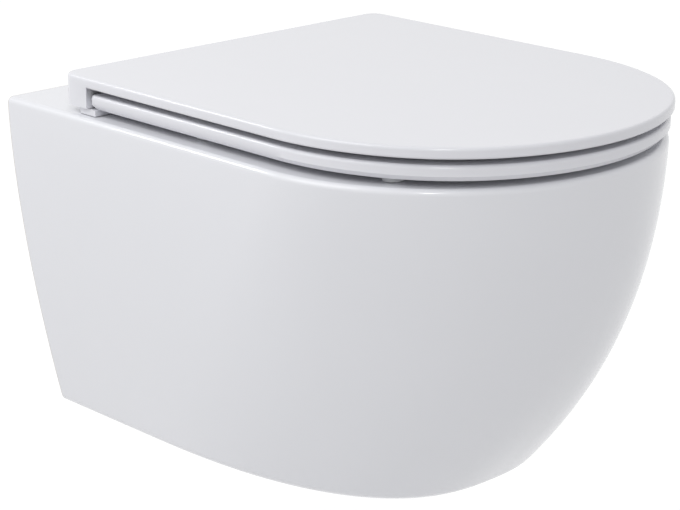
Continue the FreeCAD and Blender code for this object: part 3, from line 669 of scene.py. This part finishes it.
def oval_ring(half, rear, front, power, z, count=112):
    """A closed superellipse at a height, between two Y values."""
    middle = (rear + front) / 2
    reach = (rear - front) / 2
    ring = []
    for i in range(count):
        angle = 2 * math.pi * i / count
        c, s = math.cos(angle), math.sin(angle)
        x = math.copysign(abs(c) ** (2 / power), c)
        y = math.copysign(abs(s) ** (2 / power), s)
        ring.append(Vector((half * x, middle + reach * y, z)))
    return ring


def opening_ring(grow, z):
    """The edge of the bowl's upright band, moved outwards."""
    return oval_ring(OPENING["half"] + grow, OPENING["rear"] + grow, OPENING["front"] - grow,
                     OPENING_SQUARENESS, z)


def bowl_ring(share, grow):
    """The bowl below its ledge: share 0 at the ledge, 1 at the sump."""
    blend = share ** BOWL_POWER
    nose_blend = share ** BOWL_NOSE_POWER
    half = (OPENING["half"] - LEDGE) * (1 - blend) + SUMP_RADIUS * blend + grow
    rear = (OPENING["rear"] - LEDGE) * (1 - blend) + (SUMP_Y + SUMP_RADIUS) * blend + grow
    front = (OPENING["front"] + LEDGE) * (1 - nose_blend) + (SUMP_Y - SUMP_RADIUS) * nose_blend
    z = LEDGE_Z + (SUMP_Z - LEDGE_Z) * share
    squareness = OPENING_SQUARENESS * (1 - share) + 2.0 * share
    return oval_ring(half, rear, front - grow, squareness, z)


def dome_rings(radius):
    """The sump's round bottom."""
    rings = []
    for i in range(1, 9):
        angle = math.radians(10.0 * i)
        reach = radius * math.cos(angle)
        rings.append(oval_ring(reach, SUMP_Y + reach, SUMP_Y - reach, 2.0,
                               SUMP_Z - radius * math.sin(angle)))
    return rings


def quarter(steps=5):
    """Sine and cosine through a quarter turn."""
    turns = [math.pi / 2 * i / steps for i in range(steps + 1)]
    return [(math.sin(turn), math.cos(turn)) for turn in turns]


def bowl_hollow():
    """What the bowl leaves empty: rounded mouth, upright band, flush ledge, bowl and sump."""
    sizes = bpy.context.scene.toilet_sizes
    lip = sizes.opening_round
    rim_z = PAN_HIGH.z
    steps = 30
    rings = [opening_ring(lip, rim_z + lip)]
    for s, c in quarter():
        rings.append(opening_ring(lip * (1 - s), rim_z - lip * (1 - c)))
    for s, c in quarter():
        rings.append(opening_ring(-BAND_FILLET * (1 - c), LEDGE_Z + BAND_FILLET * (1 - s)))
    for s, c in quarter():
        rings.append(opening_ring(LEDGE_EASE * (1 - s) - LEDGE, LEDGE_Z - LEDGE_EASE * (1 - c)))
    first = LEDGE_EASE / (LEDGE_Z - SUMP_Z)
    for i in range(1, steps + 1):
        rings.append(bowl_ring(first + (1 - first) * i / steps, 0.0))
    return lofted(rings + dome_rings(SUMP_RADIUS))


def bowl_shell():
    """The outside of the bowl, hidden in the pan."""
    top = PAN_HIGH.z - bpy.context.scene.toilet_sizes.deck / 2
    steps = 16
    rings = [opening_ring(BAND_WALL, top), opening_ring(BAND_WALL, LEDGE_Z)]
    rings += [bowl_ring(i / steps, BOWL_WALL) for i in range(1, steps + 1)]
    return lofted(rings + dome_rings(SUMP_RADIUS + BOWL_WALL))


def trap_stations(steps=7):
    """Places and directions along the trap's runs and bends."""
    points = [Vector((0, y, z)) for y, z in TRAP_POINTS]
    stations = [(points[0], points[1] - points[0])]
    for before, corner, after in zip(points, points[1:], points[2:]):
        come = (corner - before).normalized()
        go = (after - corner).normalized()
        turn = come.angle(go)
        side = (go - come * go.dot(come)).normalized()
        entry = corner - come * TRAP_BEND * math.tan(turn / 2)
        for i in range(steps + 1):
            angle = turn * i / steps
            place = entry + (come * math.sin(angle) + side * (1 - math.cos(angle))) * TRAP_BEND
            stations.append((place, come * math.cos(angle) + side * math.sin(angle)))
    stations.append((points[-1], points[-1] - points[-2]))
    return stations


def trap(radius):
    """A round pipe along the trap."""
    return lofted([round_ring(place, radius, way, count=56) for place, way in trap_stations()])


def flush_way(grow):
    """The passage from the flush socket, widening to the slot in the bowl's rear."""
    rings = []
    for y, z, half_width, half_height in FLUSH_ENDS:
        width = half_width + grow
        height = half_height + grow
        flat = oval_ring(width, height, -height, FLUSH_SQUARENESS, 0.0, count=48)
        rings.append([Vector((point.x, y, z + point.y)) for point in flat])
    return lofted(rings)


def stub(radius, length, z):
    """A round stub that ends at the wall face once that is cut."""
    profile = [(0.0, radius), (length + PAST_WALL / 2, radius)]
    return turned(profile, (0, -length, z), (0, 1, 0))


def mouth(radius, depth, flare=0.0015):
    """A bore into the wall face, its mouth eased."""
    return turned([(0.0, radius), (depth - flare, radius), (depth, radius + flare),
                   (depth + PAST_WALL, radius + flare)], (0, -depth, 0), (0, 1, 0))


def moved(mesh, x=0.0, z=0.0):
    for vert in mesh.vertices:
        vert.co += Vector((x, 0, z))
    return mesh


def build_pan():
    """The pan: a hollow skin, what is fired inside it, and what is left open in that."""
    sizes = bpy.context.scene.toilet_sizes
    material = glaze()
    tree = pan_form_tree()
    rim_z, base_z = PAN_HIGH.z, PAN_LOW.z
    outside = pan_form(tree, material, 0.0, rim_z, base_z, sizes.rim_round, sizes.base_round,
                       PAST_WALL)
    inside = pan_form(tree, material, sizes.wall, rim_z - sizes.deck, base_z + sizes.wall,
                      INNER_TOP_ROUND, INNER_BASE_ROUND, PAST_WALL * 2)
    skin = combined(outside, [inside], "DIFFERENCE")

    solids = [bowl_shell(), trap(TRAP_RADIUS + TRAP_WALL), flush_way(TRAP_WALL),
              stub(SPIGOT_RADIUS, SPIGOT_LENGTH, OUTLET_Z),
              stub(SOCKET_RADIUS, SOCKET_DEPTH, INLET_Z)]
    for side in (-1, 1):
        x = side * STUD_X
        solids.append(block((x - LUG_HALF, -LUG_DEPTH, LUG_LOW),
                            (x + LUG_HALF, PAST_WALL / 2, LUG_HIGH), LUG_ROUND))
    body = combined(skin, solids, "UNION")

    cuts = [bowl_hollow(), trap(TRAP_RADIUS), flush_way(0.0),
            moved(mouth(OUTLET_RADIUS, OUTLET_DEPTH), z=OUTLET_Z),
            moved(mouth(INLET_RADIUS, INLET_DEPTH), z=INLET_Z),
            block(*WALL_CUT)]
    for side in (-1, 1):
        x = side * STUD_X
        cuts.append(moved(mouth(POCKET_RADIUS, POCKET_DEPTH, POCKET_FLARE), x=x))
        cuts.append(upright_bar(CLAMP_RADIUS, x, CLAMP_Y, CLAMP_LOW, 0.0))
        cuts.append(upright_bar(KEY_HOLE_RADIUS, x, CLAMP_Y, base_z - OVERRUN,
                                base_z + sizes.wall + OVERRUN))
        cuts.append(upright_bar(DECK_HOLE_RADIUS, side * HINGE_X, FIXING_Y,
                                rim_z - sizes.deck - OVERRUN, rim_z + OVERRUN))
    pan = smoothed("ceramic_pan", combined(body, cuts, "DIFFERENCE"), material)
    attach(pan, "pan_body")
    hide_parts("pan")


# ---------------------------------------------------------------- seat, lid and buffers
def from_frame(node):
    """A copy of a CAD node's mesh, its corners merged and its flat faces made whole."""
    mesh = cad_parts[node].data.copy()
    bm = bmesh.new()
    bm.from_mesh(mesh)
    bmesh.ops.remove_doubles(bm, verts=bm.verts, dist=2 * SAME_POINT)
    bmesh.ops.dissolve_limit(bm, angle_limit=math.radians(FLAT_DEGREES), verts=bm.verts,
                             edges=bm.edges)
    bm.to_mesh(mesh)
    bm.free()
    return mesh


def build_cover(node, body, material):
    """The seat or the lid, smooth over its CAD shape."""
    piece = smoothed("moulded_" + node, from_frame(node), material)
    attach(piece, body)
    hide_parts(node)


# Buffers: X and Y of those on one side; the other side mirrors them
SEAT_PADS = {"radius": 0.008, "height": 0.0054, "places": ((0.150, -0.215), (0.132, -0.395))}
LID_PADS = {"radius": 0.006, "height": 0.0074, "places": ((0.140, -0.200), (0.105, -0.410))}
PAD_ROUND = 0.0012
PAD_DISH = 0.0002        # how far the sole is hollowed just inside its rounding
PAD_MIDDLE = 0.3         # share of the radius that stays flat in the middle
PAD_PLUG_RADIUS = 0.0032
PAD_PLUG = 0.0027


def set_pads_tree():
    """One pad set on every point."""
    tree = bpy.data.node_groups.new("set_pads", "GeometryNodeTree")
    tree.interface.new_socket("Points", in_out="INPUT", socket_type="NodeSocketGeometry")
    tree.interface.new_socket("Pad", in_out="INPUT", socket_type="NodeSocketObject")
    tree.interface.new_socket("Material", in_out="INPUT", socket_type="NodeSocketMaterial")
    tree.interface.new_socket("Geometry", in_out="OUTPUT", socket_type="NodeSocketGeometry")
    board = Board(tree)
    points = board.add("NodeGroupInput")
    pad = board.add("GeometryNodeObjectInfo", {}, {"Object": board.other(points, "Pad")})
    inputs = {"Points": points, "Instance": board.other(pad, "Geometry")}
    placed = board.add("GeometryNodeInstanceOnPoints", {}, inputs)
    real = board.add("GeometryNodeRealizeInstances", {}, {"Geometry": placed})
    inputs = {"Geometry": real, "Material": board.other(points, "Material")}
    board.add("NodeGroupOutput", {}, {"Geometry": board.add("GeometryNodeSetMaterial", {}, inputs)})
    return tree


def pad_profile(radius, height):
    """Distance and radius pairs of a pad with a rounded foot and a plug."""
    profile = [(0.0, radius * PAD_MIDDLE), (PAD_DISH, radius - PAD_ROUND)]
    for s, c in quarter(4):
        profile.append((PAD_ROUND * (1 - c), radius - PAD_ROUND * (1 - s)))
    plug_top = height + PAD_PLUG
    return profile + [(height, radius), (height, PAD_PLUG_RADIUS), (plug_top, PAD_PLUG_RADIUS)]


def build_pads(name, node, body, tree, material, pads):
    """The pads of one node, standing on that node's lowest level."""
    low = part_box(node)[0].z
    profile = pad_profile(pads["radius"], pads["height"])
    pad = new_piece("pad", turned(profile, (0, 0, 0), (0, 0, 1), count=40))
    places = [(side * x, y, low) for x, y in pads["places"] for side in (-1, 1)]
    points = bpy.data.meshes.new("points")
    points.from_pydata(places, [], [])
    draft = new_piece("pads", points)
    setting = draft.modifiers.new("pads", "NODES")
    setting.node_group = tree
    values = {"Pad": pad, "Material": material}
    for item in tree.interface.items_tree:
        if item.in_out == "INPUT" and item.name in values:
            setting[item.identifier] = values[item.name]
    mesh = baked(draft, name)
    dropped(draft)
    dropped(pad)
    piece = smoothed(name, mesh, material)
    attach(piece, body)
    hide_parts(node)


# ---------------------------------------------------------------- fittings
FITTINGS = {
    "chrome": ("hinge_post_left", "hinge_post_right"),
    "steel": ("base_plate_left", "base_plate_right", "hinge_pin_left", "hinge_pin_right"),
    "zinc": ("hinge_screws", "stud_sleeves", "clamp_screws"),
    "rubber": ("expansion_bushes",),
    "brass": ("expansion_nuts",),
    "grey_plastic": ("seat_damper", "seat_bearing", "lid_bearing", "lid_damper", "sleeve_liners",
                     "release_button_left", "release_button_right"),
}
FINISHES = {
    "chrome": chrome, "steel": brushed_steel, "zinc": zinc_plate, "rubber": black_rubber,
    "brass": turned_brass, "grey_plastic": nylon,
}


def dress(nodes, material):
    """Puts a finish on CAD nodes that show as they are."""
    for node in nodes:
        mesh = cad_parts[node].data
        mesh.materials.clear()
        mesh.materials.append(material)


# ---------------------------------------------------------------- studio
FLOOR_SIZE = 8.0
FLOOR_GLOW = 0.93        # what the camera sees of the floor where no light falls
FLOOR_SHADE = 0.16       # how much of the light, and so of the shadow, the camera sees on it
WIDE = 1.4
NARROW = 0.3

# Each lamp's power setting, size and place
LAMPS = {
    "key": ("key_power", WIDE, (-1.40, 0.26, 1.62)),
    "front": ("front_power", WIDE, (0.26, -2.80, 0.44)),
    "glint_left": ("glint_power", NARROW, (-1.00, 1.30, 1.25)),
    "glint_front": ("glint_power", NARROW, (-1.10, -1.35, 1.54)),
}


def seen_directly(board):
    """1 for what the camera, a reflection or glass sees, 0 for light on its way to a surface."""
    path = board.add("ShaderNodeLightPath")
    seen = board.other(path, "Is Camera Ray") + board.other(path, "Is Glossy Ray")
    return (seen + board.other(path, "Is Transmission Ray")).within()


def floor_material():
    """A pale floor: bright enough to look white, with the object's shadow kept in it."""
    finish = Finish("pale_floor")
    seen = seen_directly(finish)
    grain = finish.noise(3.0, 2.0)
    colour = finish.blend(grain, (0.80, 0.80, 0.80, 1), (0.82, 0.82, 0.82, 1))
    plain = finish.add("ShaderNodeBsdfDiffuse", {}, {"Color": colour})
    shade = (FLOOR_SHADE, FLOOR_SHADE, FLOOR_SHADE, 1)
    faint = finish.add("ShaderNodeBsdfDiffuse", {}, {"Color": shade})
    lit = finish.add("ShaderNodeEmission", {}, {"Color": (1, 1, 1, 1), "Strength": FLOOR_GLOW})
    bright = finish.add("ShaderNodeAddShader", {}, {0: faint, 1: lit})
    surface = finish.add("ShaderNodeMixShader", {}, {0: seen, 1: plain, 2: bright})
    finish.add("ShaderNodeOutputMaterial", {}, {"Surface": surface})
    return finish.material


def build_room(fill):
    """A world that lights from all round and looks white."""
    world = bpy.data.worlds.new("room")
    bpy.context.scene.world = world
    world.use_nodes = True
    board = Board(world.node_tree)
    seen = seen_directly(board)
    room = board.add("ShaderNodeBackground", {}, {"Color": (1, 1, 1, 1), "Strength": fill})
    white = board.add("ShaderNodeBackground", {}, {"Color": (1, 1, 1, 1), "Strength": 1.0})
    surface = board.add("ShaderNodeMixShader", {}, {0: seen, 1: room, 2: white})
    board.add("ShaderNodeOutputWorld", {}, {"Surface": surface})


def build_studio():
    """Room light, floor, lamps and camera."""
    scene = bpy.context.scene
    studio = scene.toilet_studio
    scene.view_settings.view_transform = "Standard"
    build_room(studio.fill)

    bm = bmesh.new()
    bmesh.ops.create_grid(bm, x_segments=1, y_segments=1, size=FLOOR_SIZE)
    for vert in bm.verts:
        vert.co.z = -studio.floor_drop
    mesh = bpy.data.meshes.new("floor")
    bm.to_mesh(mesh)
    bm.free()
    new_piece("floor", mesh, floor_material())

    for name, (power, size, place) in LAMPS.items():
        soft_lamp(name, getattr(studio, power), size, place)

    camera = bpy.data.cameras.new("camera")
    camera.sensor_width = 36.0
    camera.lens = studio.focal
    camera.clip_start = 0.05
    holder = bpy.data.objects.new("camera", camera)
    scene.collection.objects.link(holder)
    holder.location = studio.camera_place
    holder.rotation_euler = Vector(studio.camera_way).to_track_quat("-Z", "Y").to_euler()
    scene.camera = holder


def soft_lamp(name, power, size, place):
    """A round lamp, turned to the middle of the pan."""
    lamp = bpy.data.lights.new(name, "AREA")
    lamp.shape = "DISK"
    lamp.size = size
    lamp.energy = power
    holder = bpy.data.objects.new(name, lamp)
    bpy.context.scene.collection.objects.link(holder)
    holder.location = place
    way = Vector((0.0, PAN_LOW.y / 2, 0.0)) - holder.location
    holder.rotation_euler = way.to_track_quat("-Z", "Y").to_euler()


# ---------------------------------------------------------------- operators
class TOILET_OT_pan(bpy.types.Operator):
    """Build the glazed pan over its CAD node"""

    bl_idname = "toilet.pan"
    bl_label = "Pan"

    def execute(self, context):
        build_pan()
        return {"FINISHED"}


class TOILET_OT_covers(bpy.types.Operator):
    """Build the moulded seat and lid"""

    bl_idname = "toilet.covers"
    bl_label = "Seat and Lid"

    def execute(self, context):
        material = duroplast()
        build_cover("seat", "seat_body", material)
        build_cover("lid", "lid_body", material)
        return {"FINISHED"}


class TOILET_OT_pads(bpy.types.Operator):
    """Set the soft buffers under the seat and the lid"""

    bl_idname = "toilet.pads"
    bl_label = "Buffers"

    def execute(self, context):
        material = elastomer()
        tree = set_pads_tree()
        build_pads("seat_pads", "seat_buffers", "seat_body", tree, material, SEAT_PADS)
        build_pads("lid_pads", "lid_buffers", "lid_body", tree, material, LID_PADS)
        return {"FINISHED"}


class TOILET_OT_fittings(bpy.types.Operator):
    """Give the hinge and wall fittings their finishes"""

    bl_idname = "toilet.fittings"
    bl_label = "Fittings"

    def execute(self, context):
        for slot, nodes in FITTINGS.items():
            dress(nodes, FINISHES[slot]())
        return {"FINISHED"}


class TOILET_OT_studio(bpy.types.Operator):
    """Set up the floor, the lamps, the room light and the camera"""

    bl_idname = "toilet.studio"
    bl_label = "Studio"

    def execute(self, context):
        build_studio()
        return {"FINISHED"}


STEPS = (TOILET_OT_pan, TOILET_OT_covers, TOILET_OT_pads, TOILET_OT_fittings, TOILET_OT_studio)


class TOILET_PT_build(bpy.types.Panel):
    """Steps of the build, with the sizes and colours they use"""

    bl_idname = "TOILET_PT_build"
    bl_label = "Wall Hung Toilet"
    bl_space_type = "VIEW_3D"
    bl_region_type = "UI"
    bl_category = "Toilet"

    def draw(self, context):
        layout = self.layout
        for step in STEPS:
            layout.operator(step.bl_idname)
        for group in (context.scene.toilet_sizes, context.scene.toilet_colours,
                      context.scene.toilet_studio):
            box = layout.box()
            for name in group.__annotations__:
                box.prop(group, name)


GROUPS = {
    "toilet_sizes": ToiletSizes, "toilet_colours": ToiletColours, "toilet_studio": ToiletStudio,
}
CLASSES = (*GROUPS.values(), *STEPS, TOILET_PT_build)


def register():
    for cls in CLASSES:
        bpy.utils.register_class(cls)
    for name, group in GROUPS.items():
        setattr(bpy.types.Scene, name, PointerProperty(type=group))


def unregister():
    for name in GROUPS:
        delattr(bpy.types.Scene, name)
    for cls in reversed(CLASSES):
        bpy.utils.unregister_class(cls)


def main():
    register()
    for step in STEPS:
        area, name = step.bl_idname.split(".")
        getattr(getattr(bpy.ops, area), name)()
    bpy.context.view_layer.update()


if __name__ == "__main__":
    main()
